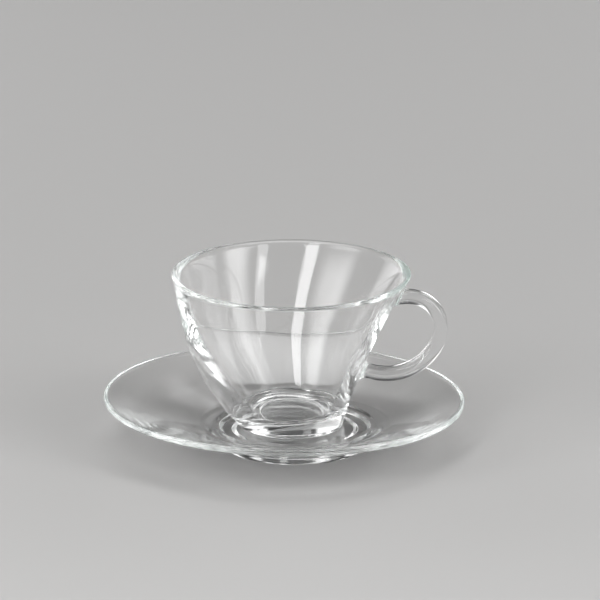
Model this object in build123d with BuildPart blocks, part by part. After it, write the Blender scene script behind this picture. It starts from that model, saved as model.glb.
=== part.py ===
"""Clear pressed-glass tea cup with a ring handle, standing on its clear glass saucer.

Millimetres, +Z up. The origin is on the table, under the middle of the saucer's rim. The
well of the saucer, and the cup in it, stand a little towards the handle side, which is +X.
The cup's body leans: its sections shift away from the handle between a foot and a rim that
are in line with each other.
"""
import os
from math import cos, pi, radians, sin
from build123d import *

# ---- saucer: all but its outline turns about the well axis ----
saucer_radius = 72.3          # outline, round the origin
well_offset = 4.4             # well axis from the origin
foot_ring_radius = 29.2       # on the table, outside
foot_ring_width = 4.0
foot_ring_height = 2.2        # table to the hollow inside the ring
foot_ring_taper = 1.5         # the ring widens by this towards the dish
shoulder_drop = 1.2           # the ring meets the dish this far below the dish's inner edge
saucer_floor = 7.9            # table to the floor that the cup stands on
floor_radius = 30.5
step_height = 0.7             # the floor steps up to a narrow ledge
step_width = 1.6
ledge_width = 4.0
dish_blend = 3.0              # the ledge curves up into the dish over this distance
dish_blend_rise = 0.7
dish_slope_in = 20.5          # degrees, next to the ledge
dish_slope_out = 12.0         # degrees, at the edge
dish_width = 43.0             # past the furthest edge; trimmed to the outline
dish_rise = 12.8
saucer_wall_in = 3.8          # upright through the dish, next to the ledge
saucer_wall_out = 2.7         # and at the edge
saucer_edge = 1.3            # rounding of the edge

# ---- cup: heights count from the saucer's floor, distances from the cup axis ----
cup_offset = 3.0              # cup axis from the origin
cup_height = 63.0
rim_radius = 48.3
rim_wall = 3.2
lip_rounding_out = 0.9
lip_rounding_in = 1.7
foot_radius = 20.5
foot_draft = 0.27             # growth of the foot's radius for each mm of height
foot_height = 11.0            # its top is inside the body
foot_rounding = 0.6
recess_radius = 14.5          # shallow hollow under the foot
recess_depth = 1.0
body_start = 0.8              # height of the body's lowest section
back_low = 21.4               # reach of the lowest section away from the handle
back_straight = 0.3           # share of that side's profile that is a straight flare
back_belly = 2.9              # the rest swells, more so for a larger value
back_flare = 0.9              # the lip turns out on that side
back_flare_power = 20.0       # how sharply it does
front_low = 20.0              # reach of the lowest section towards the handle
front_straight = 0.8          # share of that side's profile that is a straight flare
front_hollow = 3.0            # the rest is hollow, more so for a larger value
squash = 0.08                 # the lowest section is this much narrower than it is long
base_thickness = 6.4
back_wall_growth = 7.5        # extra wall at the bottom, away from the handle
front_wall_growth = 3.5       # extra wall at the bottom, handle side
wall_growth_power = 1.6
bowl_rounding = 7.0           # inside, from the bottom up into the wall
section_count = 9             # sections that each wall surface is lofted through

# ---- handle: a ring that stands upright on the side the body leans away from ----
handle_thickness = 5.5
handle_width = 7.0
handle_rounding = 2.2
handle_drop = 9.5             # lip to the top of the handle's centre line
handle_standoff = 4.0         # wall to the middle of the bend, at the height of that top
bend_radius = 13.2            # centre line of the round upper part
bend_start = 98.0             # degrees, where the short upper arm begins
upper_arm = 9.0               # straight, ends in the wall
bend_end = -22.0              # degrees, where the wider lower arm begins
lower_root_height = 25.0
lower_root_depth = 3.6        # the arm ends this deep in the wall
root_rounding = 1.8

axis_tolerance = 0.01


def level(height):
    """Share of the body's height, 0 at its lowest section and 1 at the rim."""
    return (height - body_start) / (cup_height - body_start)


def back_reach(height):
    """Outer reach of the body away from the handle."""
    t = level(height)
    swell = back_straight * t + (1 - back_straight) * (1 - (1 - t) ** back_belly)
    flare = back_flare * t ** back_flare_power
    return back_low + (rim_radius - back_flare - back_low) * swell + flare


def front_reach(height):
    """Outer reach of the body towards the handle."""
    t = level(height)
    swell = front_straight * t + (1 - front_straight) * t ** front_hollow
    return front_low + (rim_radius - front_low) * swell


def wall(height, growth):
    """Level thickness of the body's wall."""
    return rim_wall + growth * (1 - level(height)) ** wall_growth_power


def section(height, back, front):
    """Sketch of one level section of the cup that reaches from -back to +front."""
    half_length = (front + back) / 2
    half_width = half_length * (1 - squash * (1 - level(height)) ** 2)
    middle = (cup_offset + (front - back) / 2, 0, saucer_floor + height)
    with BuildSketch(Plane(middle)) as outline:
        Ellipse(half_length, half_width)
    return outline.sketch


def section_heights(start):
    """Heights of the sections from start up to the rim, closer together at both ends."""
    turns = [pi * i / (section_count - 1) for i in range(section_count)]
    return [start + (cup_height - start) * (1 - cos(turn)) / 2 for turn in turns]


def edges_at(builder, height):
    """Edges of a part that lie level at one height."""
    return builder.edges().filter_by_position(
        Axis.Z, height - axis_tolerance, height + axis_tolerance)


saucer_plane = Plane((well_offset, 0, 0), x_dir=(1, 0, 0), z_dir=(0, -1, 0))
cup_plane = Plane((cup_offset, 0, saucer_floor), x_dir=(1, 0, 0), z_dir=(0, -1, 0))

with BuildPart() as saucer:
    with BuildSketch(saucer_plane):
        with BuildLine():
            slope_in = (cos(radians(dish_slope_in)), sin(radians(dish_slope_in)))
            slope_out = (cos(radians(dish_slope_out)), sin(radians(dish_slope_out)))
            ledge_start = (floor_radius + step_width, saucer_floor + step_height)
            ledge_end = (ledge_start[0] + ledge_width, ledge_start[1])
            dish_start = (ledge_end[0] + dish_blend, ledge_end[1] + dish_blend_rise)
            dish_end = (dish_start[0] + dish_width, dish_start[1] + dish_rise)
            under_start = (dish_start[0], dish_start[1] - saucer_wall_in)
            under_end = (dish_end[0], dish_end[1] - saucer_wall_out)
            shoulder = (foot_ring_radius + foot_ring_taper, under_start[1] - shoulder_drop)
            ring_inside = foot_ring_radius - foot_ring_width
            Polyline((0, saucer_floor), (floor_radius, saucer_floor), ledge_start, ledge_end)
            Spline(ledge_end, dish_start, dish_end, tangents=[(1, 0), slope_in, slope_out])
            Line(dish_end, under_end)
            Spline(under_start, under_end, tangents=[slope_in, slope_out])
            Polyline(under_start, shoulder, (foot_ring_radius, 0), (ring_inside, 0),
                     (ring_inside - foot_ring_taper, foot_ring_height), (0, foot_ring_height))
            Line((0, foot_ring_height), (0, saucer_floor))
        make_face()
    revolve(axis=Axis((well_offset, 0, 0), (0, 0, 1)))
    # round outline, a little off the well axis
    with BuildSketch():
        Circle(saucer_radius)
    extrude(amount=dish_end[1], mode=Mode.INTERSECT)
    outline_edges = saucer.edges().sort_by(SortBy.LENGTH)[-2:]
    fillet(outline_edges, saucer_edge)

with BuildPart() as cup:
    # body, solid at first
    for height in section_heights(body_start):
        add(section(height, back_reach(height), front_reach(height)))
    loft()
    # foot
    foot_bottom = Plane((cup_offset, 0, saucer_floor))
    with BuildSketch(foot_bottom):
        Circle(foot_radius)
    with BuildSketch(foot_bottom.offset(foot_height)):
        Circle(foot_radius + foot_draft * foot_height)
    loft()
    # handle
    bend_top = cup_height - handle_drop
    bend_center = (front_reach(bend_top) + handle_standoff, bend_top - bend_radius)
    lower_root = (front_reach(lower_root_height) - lower_root_depth, lower_root_height)
    with BuildLine(cup_plane) as route:
        bend = CenterArc(bend_center, bend_radius, bend_start, bend_end - bend_start)
        Line((bend @ 0) - (bend % 0) * upper_arm, bend @ 0)
        TangentArc(bend @ 1, cup_plane.from_local_coords(lower_root), tangent=bend % 1)
    with BuildSketch(Plane(route.wire() @ 0, x_dir=(0, 1, 0), z_dir=route.wire() % 0)):
        RectangleRounded(handle_width, handle_thickness, handle_rounding)
    sweep(path=route.wire())
    fillet(cup.edges(Select.NEW), root_rounding)
    # inside of the bowl
    for height in section_heights(base_thickness):
        back = back_reach(height) - wall(height, back_wall_growth)
        front = front_reach(height) - wall(height, front_wall_growth)
        add(section(height, back, front))
    loft(mode=Mode.SUBTRACT)
    fillet(edges_at(cup, saucer_floor + base_thickness), bowl_rounding)
    # lip
    lip_height = saucer_floor + cup_height
    fillet(edges_at(cup, lip_height).sort_by(SortBy.LENGTH)[-1], lip_rounding_out)
    fillet(edges_at(cup, lip_height).sort_by(SortBy.LENGTH)[0], lip_rounding_in)
    # underside of the foot
    fillet(edges_at(cup, saucer_floor), foot_rounding)
    with BuildSketch(foot_bottom):
        Circle(recess_radius)
    extrude(amount=recess_depth, taper=30, mode=Mode.SUBTRACT)

cup.part.label = "cup"
saucer.part.label = "saucer"
os.makedirs("parts", exist_ok=True)
export_step(cup.part, "parts/cup.step")
export_step(saucer.part, "parts/saucer.step")
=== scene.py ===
"""Looks of a clear pressed-glass tea cup with a ring handle on its clear glass saucer.

The glass is remade here as fine, even meshes from the model's own profile formulas, in
millimetres, and scaled to the frame's metres at the end. The cup's axis and the saucer's well
stand a little towards the handle, which is +X; the camera looks along +Y.
"""
from math import atan2, cos, hypot, pi, radians, sin, sqrt, tan

import bpy
import numpy as np
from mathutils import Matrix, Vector, noise


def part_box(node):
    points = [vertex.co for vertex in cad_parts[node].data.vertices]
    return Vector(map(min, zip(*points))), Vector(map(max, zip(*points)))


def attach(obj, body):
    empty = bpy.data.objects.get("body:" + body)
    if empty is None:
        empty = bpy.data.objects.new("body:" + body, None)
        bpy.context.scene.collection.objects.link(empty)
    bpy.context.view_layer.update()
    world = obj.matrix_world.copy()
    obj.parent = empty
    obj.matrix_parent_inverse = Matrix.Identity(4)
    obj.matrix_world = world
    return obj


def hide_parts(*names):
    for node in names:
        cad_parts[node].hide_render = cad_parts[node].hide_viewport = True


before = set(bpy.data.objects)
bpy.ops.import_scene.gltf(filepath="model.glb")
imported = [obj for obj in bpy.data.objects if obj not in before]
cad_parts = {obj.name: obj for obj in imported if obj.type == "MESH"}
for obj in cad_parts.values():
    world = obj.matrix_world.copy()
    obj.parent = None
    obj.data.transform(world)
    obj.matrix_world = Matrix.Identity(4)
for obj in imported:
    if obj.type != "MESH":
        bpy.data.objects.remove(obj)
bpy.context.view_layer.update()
cup_low, cup_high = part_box("cup")

MM = 0.001

# ---- cup, as in the model: heights from the saucer's floor, distances from the cup axis ----
CUP_X = 3.0
FLOOR_Z = cup_low.z / MM
CUP_HEIGHT = (cup_high.z - cup_low.z) / MM
RIM_RADIUS = 48.3
RIM_WALL = 3.2
LIP_OUT = 0.9
LIP_IN = 1.7
FOOT_RADIUS = 20.5
FOOT_DRAFT = 0.27
FOOT_ROUNDING = 0.6
RECESS_RADIUS = 14.5
RECESS_DEPTH = 1.0
RECESS_TAPER = 30.0           # degrees, from upright
BODY_START = 0.8
BACK_LOW = 21.4
BACK_STRAIGHT = 0.3
BACK_BELLY = 2.9
BACK_FLARE = 0.9
BACK_FLARE_POWER = 20.0
FRONT_LOW = 20.0
FRONT_STRAIGHT = 0.8
FRONT_HOLLOW = 3.0
SQUASH = 0.08
BASE_THICKNESS = 6.4
BACK_WALL_GROWTH = 7.5
FRONT_WALL_GROWTH = 3.5
WALL_GROWTH_POWER = 1.6
BOWL_ROUNDING = 7.0
CREASE_SOFTNESS = 0.35        # the body melts into the foot over about this distance
LIFT = 0.04                   # air between the foot and the saucer

# ---- handle ----
HANDLE_THICKNESS = 5.5
HANDLE_WIDTH = 7.0
HANDLE_ROUNDING = 2.2
HANDLE_DROP = 9.5
HANDLE_STANDOFF = 4.0
BEND_RADIUS = 13.2
BEND_START = 98.0             # degrees
BEND_END = -22.0
UPPER_ARM = 9.0
LOWER_ROOT_HEIGHT = 25.0
LOWER_ROOT_DEPTH = 3.6

# ---- saucer: distances from the well axis ----
SAUCER_RADIUS = 72.3
WELL_X = 4.4
RING_RADIUS = 29.2
RING_WIDTH = 4.0
RING_HEIGHT = 2.2
RING_TAPER = 1.5
SHOULDER_DROP = 1.2
WELL_RADIUS = 30.5
STEP_HEIGHT = 0.7
STEP_WIDTH = 1.6
LEDGE_WIDTH = 4.0
DISH_BLEND = 3.0
DISH_BLEND_RISE = 0.7
DISH_SLOPE_IN = 20.5
DISH_SLOPE_OUT = 12.0
DISH_WIDTH = 43.0
DISH_RISE = 12.8
WALL_IN = 3.8
WALL_OUT = 2.7
SAUCER_EDGE = 1.3


# ---------------------------------------------------------------- cup profile

def level(height):
    """Share of the body's height, 0 at its lowest section and 1 at the rim."""
    return (height - BODY_START) / (CUP_HEIGHT - BODY_START)


def back_reach(height):
    """Outer reach of the body away from the handle."""
    t = level(height)
    swell = BACK_STRAIGHT * t + (1 - BACK_STRAIGHT) * (1 - (1 - t) ** BACK_BELLY)
    flare = BACK_FLARE * t ** BACK_FLARE_POWER
    return BACK_LOW + (RIM_RADIUS - BACK_FLARE - BACK_LOW) * swell + flare


def front_reach(height):
    """Outer reach of the body towards the handle."""
    t = level(height)
    swell = FRONT_STRAIGHT * t + (1 - FRONT_STRAIGHT) * t ** FRONT_HOLLOW
    return FRONT_LOW + (RIM_RADIUS - FRONT_LOW) * swell


def wall(height, growth):
    """Level thickness of the body's wall."""
    return RIM_WALL + growth * (1 - level(height)) ** WALL_GROWTH_POWER


def ellipse_reach(angle, back, front, height):
    """Distance from the cup axis to an elliptical section, in one direction."""
    half = (front + back) / 2
    side = half * (1 - SQUASH * (1 - level(height)) ** 2)
    middle = (front - back) / 2
    c, s = cos(angle) / half, sin(angle) / side
    m = middle / half
    a, b = c * c + s * s, c * m
    return (b + sqrt(b * b + a * (1 - m * m))) / a


def outside(angle, height):
    """Outer reach of the cup: the body melting into the foot."""
    body = ellipse_reach(angle, back_reach(height), front_reach(height), height)
    foot = FOOT_RADIUS + FOOT_DRAFT * height
    apart = (body - foot) / 2
    return (body + foot) / 2 + sqrt(apart * apart + CREASE_SOFTNESS ** 2 / 4)


def inside(angle, height):
    """Inner reach of the bowl."""
    back = back_reach(height) - wall(height, BACK_WALL_GROWTH)
    front = front_reach(height) - wall(height, FRONT_WALL_GROWTH)
    return ellipse_reach(angle, back, front, height)


# ---------------------------------------------------------------- profile helpers

SMOOTH_HANDLE = 0.55          # Bezier handle that makes a near circular corner


def straight(start, end, steps):
    """Points after start, up to and with end."""
    return [tuple(a + (b - a) * i / steps for a, b in zip(start, end)) for i in range(1, steps + 1)]


def curve(start, corner, end, steps):
    """Points after start, up to end, of a rounded corner."""
    points = []
    first = [a + (c - a) * SMOOTH_HANDLE for a, c in zip(start, corner)]
    second = [b + (c - b) * SMOOTH_HANDLE for b, c in zip(end, corner)]
    for i in range(1, steps + 1):
        t = i / steps
        k = ((1 - t) ** 3, 3 * t * (1 - t) ** 2, 3 * t * t * (1 - t), t ** 3)
        points.append(tuple(
            k[0] * a + k[1] * f + k[2] * s + k[3] * b
            for a, f, s, b in zip(start, first, second, end)))
    return points


def towards(start, end, distance):
    """The point that distance along the way from start to end."""
    length = hypot(end[0] - start[0], end[1] - start[1])
    return tuple(a + (b - a) * distance / length for a, b in zip(start, end))


def rounded(corners, radius, corner_steps, steps):
    """Points after the first corner of an outline with every inner corner rounded."""
    points = []
    at = corners[0]
    for corner, after, count in zip(corners[1:], corners[2:] + [None], steps):
        if after is None:
            points += straight(at, corner, count)
            break
        points += straight(at, towards(corner, at, radius), count)
        at = towards(corner, after, radius)
        points += curve(points[-1], corner, at, corner_steps)
    return points


# ---------------------------------------------------------------- cup

COLUMNS = 288
OUTER_FINE = 0.32             # row heights near the foot and up the wall
OUTER_COARSE = 0.62
FINE_UP_TO = 11.0
SOFT_CORNER = 0.3             # rounding of the small corners
INNER_ROWS = 84
FILLET_SHARE = 0.9            # of the lip's roundings, measured along the slanting wall
SOFT_STEPS = 3                # mesh steps round a soft corner
FOOT_STEPS = 4
BOWL_STEPS = 10
BOWL_FLOOR_STEPS = 10
LIP_OUT_STEPS = 5
LIP_IN_STEPS = 8
UNDERSIDE_STEPS = (9, 1, 7)   # hollow, its slope, and the ring that the cup stands on


def outer_heights():
    """Row heights of the outer wall, from the foot's rounding up to the lip's."""
    top = CUP_HEIGHT - LIP_OUT
    fine = round((FINE_UP_TO - FOOT_ROUNDING) / OUTER_FINE)
    coarse = round((top - FINE_UP_TO) / OUTER_COARSE)
    low = [FOOT_ROUNDING + (FINE_UP_TO - FOOT_ROUNDING) * i / fine for i in range(1, fine)]
    return low + [FINE_UP_TO + (top - FINE_UP_TO) * i / coarse for i in range(coarse + 1)]


OUTER_HEIGHTS = outer_heights()


def underside(angle):
    """Half profile under the foot, from the axis out to the foot's side."""
    slope_top = RECESS_RADIUS - tan(radians(RECESS_TAPER)) * RECESS_DEPTH
    foot = outside(angle, 0)
    corners = [(0.0, RECESS_DEPTH), (slope_top, RECESS_DEPTH), (RECESS_RADIUS, 0.0),
               (foot - FOOT_ROUNDING, 0.0)]
    points = rounded(corners, SOFT_CORNER, SOFT_STEPS, UNDERSIDE_STEPS)
    side = (outside(angle, FOOT_ROUNDING), FOOT_ROUNDING)
    return points + curve(points[-1], (foot, 0.0), side, FOOT_STEPS)


def bowl(angle):
    """Half profile of the bowl, from under the lip down and in to the axis."""
    top = CUP_HEIGHT - LIP_IN * FILLET_SHARE
    corner = (inside(angle, BASE_THICKNESS), BASE_THICKNESS)
    # how far the wall turns from the level floor, measured over its first millimetre
    above = inside(angle, BASE_THICKNESS + 1.0) - corner[0]
    turn = atan2(1.0, above)
    reach = BOWL_ROUNDING * tan(turn / 2)
    low = BASE_THICKNESS + reach * sin(turn)
    rows = [top + (low - top) * i / INNER_ROWS for i in range(1, INNER_ROWS + 1)]
    points = [(inside(angle, h), h) for h in rows]
    floor = (corner[0] - reach, BASE_THICKNESS)
    points += curve(points[-1], corner, floor, BOWL_STEPS)
    return points + straight(floor, (0.0, BASE_THICKNESS), BOWL_FLOOR_STEPS)


def lip(angle):
    """Rounded lip, from the outer wall over to the inner one."""
    start = (outside(angle, CUP_HEIGHT - LIP_OUT), CUP_HEIGHT - LIP_OUT)
    out = (outside(angle, CUP_HEIGHT), CUP_HEIGHT)
    into = (inside(angle, CUP_HEIGHT), CUP_HEIGHT)
    low = CUP_HEIGHT - LIP_IN * FILLET_SHARE
    top_out = (out[0] - LIP_OUT, CUP_HEIGHT)
    top_in = (into[0] + LIP_IN, CUP_HEIGHT)
    points = curve(start, out, top_out, LIP_OUT_STEPS) + straight(top_out, top_in, 1)
    return points + curve(top_in, into, (inside(angle, low), low), LIP_IN_STEPS)


def cup_profile(angle):
    """Closed half profile of the cup without its handle, as distances and heights."""
    under = underside(angle)
    outer = [(outside(angle, h), h) for h in OUTER_HEIGHTS]
    return under + outer + lip(angle) + bowl(angle)


# ---- handle: its centre line lies in the plane y = 0, s runs from the upper root to the lower ----
HOLE_COLUMNS = 8              # half sizes of the opening that each root leaves in the wall's grid
HOLE_ROWS = 10
WARP_REACH = 2.6              # the grid bends towards a root over this many hole sizes
ROOT_ROWS = 7
HANDLE_ROWS = 104
HALVINGS = 26                 # steps of the search for the place where the handle meets the wall
UPPER_ROUNDING = (1.9, 1.9)   # root roundings, above and below the arm
LOWER_ROUNDING = (1.8, 3.4)

bend_top = CUP_HEIGHT - HANDLE_DROP
bend_center = (front_reach(bend_top) + HANDLE_STANDOFF, bend_top - BEND_RADIUS)
bend_end = (bend_center[0] + BEND_RADIUS * cos(radians(BEND_END)),
            bend_center[1] + BEND_RADIUS * sin(radians(BEND_END)))
lower_root = (front_reach(LOWER_ROOT_HEIGHT) - LOWER_ROOT_DEPTH, LOWER_ROOT_HEIGHT)
chord = (lower_root[0] - bend_end[0], lower_root[1] - bend_end[1])
inward = (-cos(radians(BEND_END)), -sin(radians(BEND_END)))
arm_radius = (chord[0] ** 2 + chord[1] ** 2) / 2 / (chord[0] * inward[0] + chord[1] * inward[1])
arm_center = (bend_end[0] + inward[0] * arm_radius, bend_end[1] + inward[1] * arm_radius)
BEND_LENGTH = BEND_RADIUS * radians(BEND_START - BEND_END)
LOWER_ARM = 40.0              # the lower root is looked for no further along than this


def centre_line(s):
    """Point of the handle's centre line and its outward normal, as (x, z) pairs."""
    if s < UPPER_ARM:
        a = radians(BEND_START)
        normal = (cos(a), sin(a))
        back = UPPER_ARM - s
        return (bend_center[0] + BEND_RADIUS * normal[0] - back * normal[1],
                bend_center[1] + BEND_RADIUS * normal[1] + back * normal[0]), normal
    if s < UPPER_ARM + BEND_LENGTH:
        a = radians(BEND_START) - (s - UPPER_ARM) / BEND_RADIUS
        center, radius = bend_center, BEND_RADIUS
    else:
        a = radians(BEND_END) - (s - UPPER_ARM - BEND_LENGTH) / arm_radius
        center, radius = arm_center, arm_radius
    normal = (cos(a), sin(a))
    return (center[0] + radius * normal[0], center[1] + radius * normal[1]), normal


def section_point(q):
    """Where a point of the unit square's edge lands on the handle's rounded section."""
    a, b = HANDLE_WIDTH / 2, HANDLE_THICKNESS / 2
    x, y = q[0] * a, q[1] * b
    ix = max(-a + HANDLE_ROUNDING, min(a - HANDLE_ROUNDING, x))
    iy = max(-b + HANDLE_ROUNDING, min(b - HANDLE_ROUNDING, y))
    length = hypot(x - ix, y - iy)
    return ix + (x - ix) * HANDLE_ROUNDING / length, iy + (y - iy) * HANDLE_ROUNDING / length


def handle_point(s, q):
    """Point of the handle's surface, from the cup axis."""
    (x, z), normal = centre_line(s)
    side, out = section_point(q)
    return x + normal[0] * out, side, z + normal[1] * out


def clearance(point):
    """How far a point is outside the cup's wall, level."""
    x, y, z = point
    return hypot(x, y) - outside(atan2(y, x), z)


def meet_wall(q, free, buried):
    """Value of s at which a line of the handle's surface enters the wall."""
    for _ in range(HALVINGS):
        middle = (free + buried) / 2
        if clearance(handle_point(middle, q)) > 0:
            free = middle
        else:
            buried = middle
    return free


class Root:
    """Where one end of the handle grows out of the wall."""

    def __init__(self, free, buried, side, rounding):
        self.free, self.buried, self.side, self.rounding = free, buried, side, rounding
        centre = handle_point(meet_wall((0, 1), free, buried), (0, 1))
        other = handle_point(meet_wall((0, -1), free, buried), (0, -1))
        self.height = (centre[2] + other[2]) / 2
        self.scale = outside(0, self.height)
        self.row = min(range(len(OUTER_HEIGHTS)), key=lambda j: abs(OUTER_HEIGHTS[j] - self.height))

    def corner(self, q):
        """s and point where the handle's surface meets the wall; q's second share is up."""
        flipped = (q[0], q[1] * self.side)
        s = meet_wall(flipped, self.free, self.buried)
        return s, handle_point(s, flipped)

    def radius(self, q):
        """Rounding at q, from the upper one to the lower one."""
        share = (q[1] + 1) / 2
        return self.rounding[0] * share + self.rounding[1] * (1 - share)

    def edge(self, q):
        """Angle and height, both as lengths from the root's middle, where the rounding starts."""
        x, y, z = self.corner(q)[1]
        u, v = atan2(y, x) * self.scale, z - self.height
        length = hypot(u, v)
        grow = 1 + self.radius(q) / length
        return u * grow, v * grow


# each root is looked for between a place outside the wall and one inside it
bend_stop = UPPER_ARM + BEND_LENGTH
upper = Root(UPPER_ARM + 2.0, 1.0, 1, UPPER_ROUNDING)
lower = Root(bend_stop + LOWER_ARM / 2, bend_stop + LOWER_ARM, -1, LOWER_ROUNDING)


def on_wall(u, v, root):
    """Point of the outer wall from lengths along it."""
    angle, height = u / root.scale, root.height + v
    r = outside(angle, height)
    return r * cos(angle), r * sin(angle), height


def square_share(column, row):
    """How many hole sizes a grid point is from a root's middle, and its place on the square."""
    size = max(abs(column) / HOLE_COLUMNS, abs(row) / HOLE_ROWS)
    return size, (column / HOLE_COLUMNS / size, row / HOLE_ROWS / size)


def bend_grid(points, first_row, root):
    """Moves the wall's grid so that it flows round the root."""
    reach_columns = int(HOLE_COLUMNS * WARP_REACH)
    reach_rows = int(HOLE_ROWS * WARP_REACH)
    for row in range(-reach_rows, reach_rows + 1):
        j = root.row + row
        if not 0 <= j < len(OUTER_HEIGHTS):
            continue
        for column in range(-reach_columns, reach_columns + 1):
            if (column, row) == (0, 0):
                continue
            size, q = square_share(column, row)
            if size < 1 or size >= WARP_REACH:
                continue
            t = (size - 1) / (WARP_REACH - 1)
            blend = t * t * (3 - 2 * t)
            edge = root.edge(q)
            old = (2 * pi * column / COLUMNS * root.scale, OUTER_HEIGHTS[j] - root.height)
            new = [e * size * (1 - blend) + o * blend for e, o in zip(edge, old)]
            points[column % COLUMNS][first_row + j] = on_wall(new[0], new[1], root)


def ring_of(root):
    """Grid places round the hole, anticlockwise seen from outside, starting at its lower left."""
    c, r = HOLE_COLUMNS, HOLE_ROWS
    places = [(i, -r) for i in range(-c, c)] + [(c, i) for i in range(-r, r)]
    return places + [(i, r) for i in range(c, -c, -1)] + [(-c, i) for i in range(r, -r, -1)]


def cup_geometry():
    """Vertices and faces of the whole cup, in millimetres from its axis and the saucer's floor."""
    angles = [2 * pi * i / COLUMNS for i in range(COLUMNS)]
    profiles = [cup_profile(a) for a in angles]
    first_row = len(underside(0.0))
    points = [[(r * cos(a), r * sin(a), z) for r, z in profile]
              for a, profile in zip(angles, profiles)]
    rows = len(points[0])
    for root in (upper, lower):
        bend_grid(points, first_row, root)
    # the last point of each column is the middle of the bowl
    vertices = [points[i][j] for j in range(rows - 1) for i in range(COLUMNS)]
    low_middle, high_middle = len(vertices), len(vertices) + 1
    vertices += [(0.0, 0.0, RECESS_DEPTH), (0.0, 0.0, BASE_THICKNESS)]

    def index(column, row):
        return row * COLUMNS + column % COLUMNS

    holes = set()
    for root in (upper, lower):
        for column in range(-HOLE_COLUMNS, HOLE_COLUMNS):
            for row in range(-HOLE_ROWS, HOLE_ROWS):
                holes.add((column % COLUMNS, first_row + root.row + row))
    faces = [(index(i, j), index(i + 1, j), index(i + 1, j + 1), index(i, j + 1))
             for j in range(rows - 2) for i in range(COLUMNS) if (i, j) not in holes]
    faces += [(low_middle, index(i + 1, 0), index(i, 0)) for i in range(COLUMNS)]
    faces += [(high_middle, index(i, rows - 2), index(i + 1, rows - 2)) for i in range(COLUMNS)]
    return vertices, faces, first_row, index


def add_handle(vertices, faces, first_row, index):
    """Adds the handle's surface, which grows out of both holes in one piece."""
    places = ring_of(upper)
    strands = []
    for place in places:
        q = square_share(*place)[1]
        mirrored = (place[0], -place[1])
        strand = [index(place[0], first_row + upper.row + place[1])]
        top_s, top_corner = upper.corner(q)
        low_s, low_corner = lower.corner((q[0], -q[1]))
        start_s = top_s + upper.radius(q)
        end_s = low_s - lower.radius((q[0], -q[1]))
        start, end = handle_point(start_s, q), handle_point(end_s, q)
        made = curve(vertices[strand[0]], top_corner, start, ROOT_ROWS)
        made += [handle_point(start_s + (end_s - start_s) * i / HANDLE_ROWS, q)
                 for i in range(1, HANDLE_ROWS)]
        made.append(end)
        last = index(mirrored[0], first_row + lower.row + mirrored[1])
        made += curve(end, low_corner, vertices[last], ROOT_ROWS)[:-1]
        strand += range(len(vertices), len(vertices) + len(made))
        vertices += made
        strands.append(strand + [last])
    for a, b in zip(strands, strands[1:] + strands[:1]):
        faces += [(a[i], b[i], b[i + 1], a[i + 1]) for i in range(len(a) - 1)]


# ---------------------------------------------------------------- saucer

SAUCER_COLUMNS = 320
DISH_SAMPLES = 60
BLEND_STRIDE = 4              # of the blend's dense points, every fourth is a mesh row
DISH_ROWS = 52
UNDER_ROWS = 50
EDGE_STEPS = 7
UNDER_INNER = 1.0             # the underside's even rows stop this far from the ring's shoulder
WELL_STEPS = (16, 2, 4)       # floor, step and ledge
RING_STEPS = (1, 8, 5, 4, 2, 14)  # from the underside over the ring and into its hollow


def hermite(start, slope_start, end, slope_end):
    """Dense points of a smooth curve between two points, from its slopes there."""
    width = end[0] - start[0]
    points = []
    for i in range(DISH_SAMPLES + 1):
        t = i / DISH_SAMPLES
        z = ((1 + 2 * t) * (1 - t) ** 2 * start[1] + t * (1 - t) ** 2 * width * slope_start
             + t * t * (3 - 2 * t) * end[1] - t * t * (1 - t) * width * slope_end)
        points.append((start[0] + width * t, z))
    return points


slope_in, slope_out = tan(radians(DISH_SLOPE_IN)), tan(radians(DISH_SLOPE_OUT))
LEDGE_Z = FLOOR_Z + STEP_HEIGHT
ledge_in = WELL_RADIUS + STEP_WIDTH
ledge_out = ledge_in + LEDGE_WIDTH
dish_start = (ledge_out + DISH_BLEND, LEDGE_Z + DISH_BLEND_RISE)
dish_end = (dish_start[0] + DISH_WIDTH, dish_start[1] + DISH_RISE)
under_start = (dish_start[0], dish_start[1] - WALL_IN)
under_end = (dish_end[0], dish_end[1] - WALL_OUT)
shoulder = (RING_RADIUS + RING_TAPER, under_start[1] - SHOULDER_DROP)
blend_curve = hermite((ledge_out, LEDGE_Z), 0.0, dish_start, slope_in)
dish_curve = hermite(dish_start, slope_in, dish_end, slope_out)
under_curve = hermite(under_start, slope_in, under_end, slope_out)


def height_on(curve_points, r):
    """Height of a curve at a distance from the well axis."""
    return float(np.interp(r, [p[0] for p in curve_points], [p[1] for p in curve_points]))


def outline_reach(angle):
    """Distance from the well axis to the saucer's outline, in one direction."""
    along = WELL_X * cos(angle)
    return -along + sqrt(along * along - WELL_X ** 2 + SAUCER_RADIUS ** 2)


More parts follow.
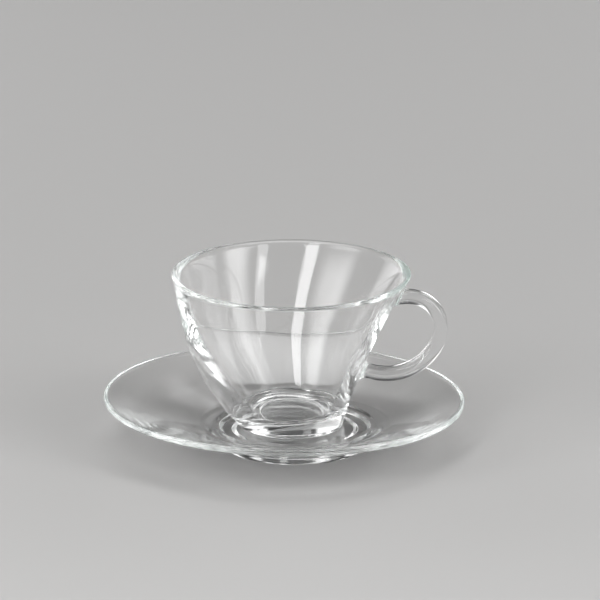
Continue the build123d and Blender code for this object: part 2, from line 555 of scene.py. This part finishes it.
def saucer_profile(angle):
    """Closed half profile of the saucer, over its top, round its edge and back underneath."""
    reach = outline_reach(angle)
    inner = reach - SAUCER_EDGE
    corners = [(0.0, FLOOR_Z), (WELL_RADIUS, FLOOR_Z), (ledge_in, LEDGE_Z), (ledge_out, LEDGE_Z)]
    points = rounded(corners, SOFT_CORNER, SOFT_STEPS, WELL_STEPS)
    points += blend_curve[BLEND_STRIDE::BLEND_STRIDE]
    dish = [dish_start[0] + (inner - dish_start[0]) * i / DISH_ROWS for i in range(1, DISH_ROWS + 1)]
    points += [(r, height_on(dish_curve, r)) for r in dish]
    top, bottom = height_on(dish_curve, reach), height_on(under_curve, reach)
    side_top, side_bottom = (reach, top - SAUCER_EDGE), (reach, bottom + SAUCER_EDGE)
    points += curve(points[-1], (reach, top), side_top, EDGE_STEPS)
    points += straight(side_top, side_bottom, 1)
    under_edge = (inner, height_on(under_curve, inner))
    points += curve(side_bottom, (reach, bottom), under_edge, EDGE_STEPS)
    under_stop = under_start[0] + UNDER_INNER
    under = [inner + (under_stop - inner) * i / UNDER_ROWS for i in range(1, UNDER_ROWS + 1)]
    points += [(r, height_on(under_curve, r)) for r in under]
    ring_in = RING_RADIUS - RING_WIDTH
    corners = [points[-1], under_start, shoulder, (RING_RADIUS, 0.0), (ring_in, 0.0),
               (ring_in - RING_TAPER, RING_HEIGHT), (0.0, RING_HEIGHT)]
    return points + rounded(corners, SOFT_CORNER, SOFT_STEPS, RING_STEPS)


def saucer_geometry():
    """Vertices and faces of the saucer, in millimetres from the well axis and the table."""
    angles = [2 * pi * i / SAUCER_COLUMNS for i in range(SAUCER_COLUMNS)]
    profiles = [saucer_profile(a) for a in angles]
    rows = len(profiles[0])
    vertices = [(profiles[i][j][0] * cos(a), profiles[i][j][0] * sin(a), profiles[i][j][1])
                for j in range(rows - 1) for i, a in enumerate(angles)]
    top_middle, low_middle = len(vertices), len(vertices) + 1
    vertices += [(0.0, 0.0, FLOOR_Z), (0.0, 0.0, RING_HEIGHT)]

    def index(column, row):
        return row * SAUCER_COLUMNS + column % SAUCER_COLUMNS

    columns = range(SAUCER_COLUMNS)
    faces = [(index(i, j), index(i, j + 1), index(i + 1, j + 1), index(i + 1, j))
             for j in range(rows - 2) for i in columns]
    faces += [(top_middle, index(i, 0), index(i + 1, 0)) for i in columns]
    faces += [(low_middle, index(i + 1, rows - 2), index(i, rows - 2)) for i in columns]
    return vertices, faces


# ---------------------------------------------------------------- pieces

CUP_WAVINESS = (0.07, 14.0, 1.8, 3.1)     # amount, size, upward stretch, seed
SAUCER_WAVINESS = (0.05, 16.0, 1.0, 7.7)
GLASS_INDEX = 1.515
TINT = (0.80, 0.95, 0.90)
CUP_TINT_STRENGTH = 1.0
SAUCER_TINT_STRENGTH = 1.4
STRIAE_FINENESS = 320.0
STRIAE_STRETCH = 0.15         # their pattern's scale upwards, so they are drawn out that way
STRIAE_STRENGTH = 0.03
STRIAE_DEPTH = 0.0002

def uneven(vertices, normals, amount, size, stretch, seed):
    """Points moved along their normals by a slow noise, as pressing and fire-polishing leave them."""
    shift = Vector((seed, seed * 0.7, seed * 1.3))
    moved = []
    for v, n in zip(vertices, normals):
        place = Vector((v[0] / size, v[1] / size, v[2] / size / stretch)) + shift
        moved.append(Vector(v) + n * (amount * noise.noise(place)))
    return moved


def make_piece(name, vertices, faces, offset, material, waviness):
    """A mesh object in the frame from millimetre geometry about a local origin.

    Waviness is the amount, size, upward stretch and seed of the surface's unevenness.
    """
    mesh = bpy.data.meshes.new(name)
    mesh.from_pydata(vertices, [], faces)
    mesh.validate()
    normals = [n.vector.copy() for n in mesh.vertex_normals]
    moved = uneven(vertices, normals, *waviness)
    scaled = (np.array([tuple(v) for v in moved]) + np.array(offset)) * MM
    mesh.vertices.foreach_set("co", scaled.astype(np.float32).ravel())
    mesh.shade_smooth()
    mesh.update()
    mesh.materials.append(material)
    piece = bpy.data.objects.new(name, mesh)
    bpy.context.scene.collection.objects.link(piece)
    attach(piece, "root")
    return piece


def clear_glass(name, tint_strength):
    """Clear soda-lime glass with a faint tint in its depth and fine striae in its surface."""
    material = bpy.data.materials.new(name)
    material.use_nodes = True
    nodes, links = material.node_tree.nodes, material.node_tree.links
    shader = nodes["Principled BSDF"]
    shader.inputs["Base Color"].default_value = (1.0, 1.0, 1.0, 1.0)
    shader.inputs["IOR"].default_value = GLASS_INDEX
    shader.inputs["Transmission Weight"].default_value = 1.0
    shader.inputs["Roughness"].default_value = 0.0
    depth = nodes.new("ShaderNodeVolumeAbsorption")
    depth.inputs["Color"].default_value = (*TINT, 1.0)
    depth.inputs["Density"].default_value = tint_strength
    links.new(depth.outputs["Volume"], nodes["Material Output"].inputs["Volume"])
    place = nodes.new("ShaderNodeTexCoord")
    drawn = nodes.new("ShaderNodeMapping")
    drawn.inputs["Scale"].default_value = (1.0, 1.0, STRIAE_STRETCH)
    striae = nodes.new("ShaderNodeTexNoise")
    striae.inputs["Scale"].default_value = STRIAE_FINENESS
    striae.inputs["Detail"].default_value = 2.0
    bump = nodes.new("ShaderNodeBump")
    bump.inputs["Strength"].default_value = STRIAE_STRENGTH
    bump.inputs["Distance"].default_value = STRIAE_DEPTH
    links.new(place.outputs["Object"], drawn.inputs["Vector"])
    links.new(drawn.outputs["Vector"], striae.inputs["Vector"])
    links.new(striae.outputs["Fac"], bump.inputs["Height"])
    links.new(bump.outputs["Normal"], shader.inputs["Normal"])
    return material


cup_glass = clear_glass("cup_glass", CUP_TINT_STRENGTH)
saucer_glass = clear_glass("saucer_glass", SAUCER_TINT_STRENGTH)

cup_vertices, cup_faces, wall_row, cup_index = cup_geometry()
add_handle(cup_vertices, cup_faces, wall_row, cup_index)
cup = make_piece("cup_body", cup_vertices, cup_faces, (CUP_X, 0, FLOOR_Z + LIFT),
                 cup_glass, CUP_WAVINESS)
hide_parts("cup")

saucer_vertices, saucer_faces = saucer_geometry()
saucer = make_piece("saucer_dish", saucer_vertices, saucer_faces, (WELL_X, 0, 0),
                    saucer_glass, SAUCER_WAVINESS)
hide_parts("saucer")


# ---------------------------------------------------------------- stage, light and camera

FLOOR_SIZE = 18.0             # metres, as are the lamps and the camera
FLOOR_COLOR = (0.58, 0.575, 0.57, 1.0)
WORLD_PALE = 0.42
WORLD_PALE_UP_TO = 0.10       # heights on the sky, 0 at the horizon and 1 overhead
WORLD_DARK = 0.04
WORLD_DARK_FROM = 0.34
LIGHT_BOUNCES = 180           # light is trapped in thick glass before it leaves at an edge


def stage_floor():
    """Plain pale floor."""
    mesh = bpy.data.meshes.new("floor")
    half = FLOOR_SIZE / 2
    mesh.from_pydata([(-half, -half, 0), (half, -half, 0), (half, half, 0), (-half, half, 0)], [],
                     [(0, 1, 2, 3)])
    floor = bpy.data.objects.new("floor", mesh)
    bpy.context.scene.collection.objects.link(floor)
    material = bpy.data.materials.new("floor_paper")
    material.use_nodes = True
    shader = material.node_tree.nodes["Principled BSDF"]
    shader.inputs["Base Color"].default_value = FLOOR_COLOR
    shader.inputs["Roughness"].default_value = 0.9
    shader.inputs["Specular IOR Level"].default_value = 0.1
    mesh.materials.append(material)


def lamp(name, azimuth, elevation, distance, width, height, power, softness=0.25):
    """Soft box that faces the object. Azimuth 0 is the camera's side and 90 the handle's side.

    Its light fades towards its edges over the softness, a share of its size.
    """
    a, e = radians(azimuth), radians(elevation)
    centre = Vector((0, 0, (cup_low.z + cup_high.z) / 2))
    away = Vector((sin(a) * cos(e), -cos(a) * cos(e), sin(e)))
    light = bpy.data.lights.new(name, "AREA")
    light.shape = "RECTANGLE"
    light.size, light.size_y = width, height
    light.energy = power
    light.use_nodes = True
    nodes, links = light.node_tree.nodes, light.node_tree.links
    place = nodes.new("ShaderNodeNewGeometry")
    split = nodes.new("ShaderNodeSeparateXYZ")
    links.new(place.outputs["Parametric"], split.inputs["Vector"])
    fades = []
    for axis in ("X", "Y"):
        # 0 in the middle of the box and 1 at its edge
        centred = nodes.new("ShaderNodeMath")
        centred.operation = "SUBTRACT"
        links.new(split.outputs[axis], centred.inputs[0])
        centred.inputs[1].default_value = 0.5
        spread = nodes.new("ShaderNodeMath")
        spread.operation = "ABSOLUTE"
        links.new(centred.outputs["Value"], spread.inputs[0])
        fade = nodes.new("ShaderNodeMapRange")
        fade.interpolation_type = "SMOOTHSTEP"
        links.new(spread.outputs["Value"], fade.inputs["Value"])
        fade.inputs["From Min"].default_value = 0.5 - softness
        fade.inputs["From Max"].default_value = 0.5
        fade.inputs["To Min"].default_value = 1.0
        fade.inputs["To Max"].default_value = 0.0
        fades.append(fade)
    both = nodes.new("ShaderNodeMath")
    both.operation = "MULTIPLY"
    links.new(fades[0].outputs["Result"], both.inputs[0])
    links.new(fades[1].outputs["Result"], both.inputs[1])
    links.new(both.outputs["Value"], nodes["Emission"].inputs["Strength"])
    box = bpy.data.objects.new(name, light)
    box.location = centre + away * distance
    box.rotation_euler = away.to_track_quat("Z", "Y").to_euler()
    box.visible_camera = False
    bpy.context.scene.collection.objects.link(box)


def studio_world():
    """Pale round the horizon, darker overhead. The camera sees only the pale part."""
    world = bpy.data.worlds.new("studio")
    bpy.context.scene.world = world
    world.use_nodes = True
    nodes, links = world.node_tree.nodes, world.node_tree.links
    background = nodes["Background"]
    direction = nodes.new("ShaderNodeTexCoord")
    split = nodes.new("ShaderNodeSeparateXYZ")
    links.new(direction.outputs["Generated"], split.inputs["Vector"])
    shade = nodes.new("ShaderNodeValToRGB")
    links.new(split.outputs["Z"], shade.inputs["Fac"])
    ramp = shade.color_ramp
    ramp.elements[0].position = WORLD_PALE_UP_TO
    ramp.elements[0].color = (WORLD_PALE, WORLD_PALE, WORLD_PALE, 1)
    ramp.elements[1].position = WORLD_DARK_FROM
    ramp.elements[1].color = (WORLD_DARK, WORLD_DARK, WORLD_DARK, 1)
    rays = nodes.new("ShaderNodeLightPath")
    pick = nodes.new("ShaderNodeMix")
    pick.data_type = "RGBA"
    links.new(rays.outputs["Is Camera Ray"], pick.inputs["Factor"])
    links.new(shade.outputs["Color"], pick.inputs["A"])
    pick.inputs["B"].default_value = (WORLD_PALE, WORLD_PALE, WORLD_PALE, 1)
    links.new(pick.outputs["Result"], background.inputs["Color"])


CAMERA_DISTANCE = 6.0
CAMERA_ELEVATION = 16.95      # degrees
VIEW_WIDTH = 0.240            # the picture's width at the object
VIEW_ASIDE = 0.0034           # from the cup axis to the middle of the picture
VIEW_UP = 0.052               # from the saucer's floor to it
SENSOR_WIDTH = 36.0           # millimetres
VIEW_TARGET = Vector((CUP_X * MM + VIEW_ASIDE, 0.0, cup_low.z + VIEW_UP))


def make_camera():
    """Long lens from a little above, as product pictures are taken."""
    data = bpy.data.cameras.new("camera")
    camera = bpy.data.objects.new("camera", data)
    bpy.context.scene.collection.objects.link(camera)
    e = radians(CAMERA_ELEVATION)
    away = Vector((0.0, -cos(e), sin(e)))
    camera.location = VIEW_TARGET + away * CAMERA_DISTANCE
    camera.rotation_euler = away.to_track_quat("Z", "Y").to_euler()
    data.sensor_width = SENSOR_WIDTH
    data.lens = data.sensor_width * CAMERA_DISTANCE / VIEW_WIDTH
    data.clip_end = 4 * CAMERA_DISTANCE
    bpy.context.scene.camera = camera


stage_floor()
# boxes on the camera's side leave bright bands in the wall; those at the back light its edges
lamp("left_box", -60, 20, 1.0, 0.85, 0.60, 7.0, 0.35)
lamp("left_strip", -25, 30, 1.0, 0.24, 1.10, 4.4, 0.08)
lamp("right_box", 60, 28, 1.0, 0.64, 1.10, 8.4, 0.32)
lamp("right_patch", 28, 18, 1.0, 0.22, 0.34, 1.2, 0.15)
lamp("left_rim", -140, 20, 1.0, 0.75, 0.75, 2.5, 0.15)
lamp("right_rim", 108, 9, 1.0, 0.90, 0.40, 1.9, 0.15)
lamp("right_rear", 150, 22, 1.0, 0.50, 0.70, 1.3, 0.15)
lamp("top_box", 180, 68, 3.2, 3.0, 2.4, 58.0)
studio_world()
make_camera()
bpy.context.scene.view_settings.view_transform = "Standard"
bpy.context.scene.cycles.max_bounces = LIGHT_BOUNCES
bpy.context.scene.cycles.transmission_bounces = LIGHT_BOUNCES
bpy.context.scene.cycles.glossy_bounces = LIGHT_BOUNCES
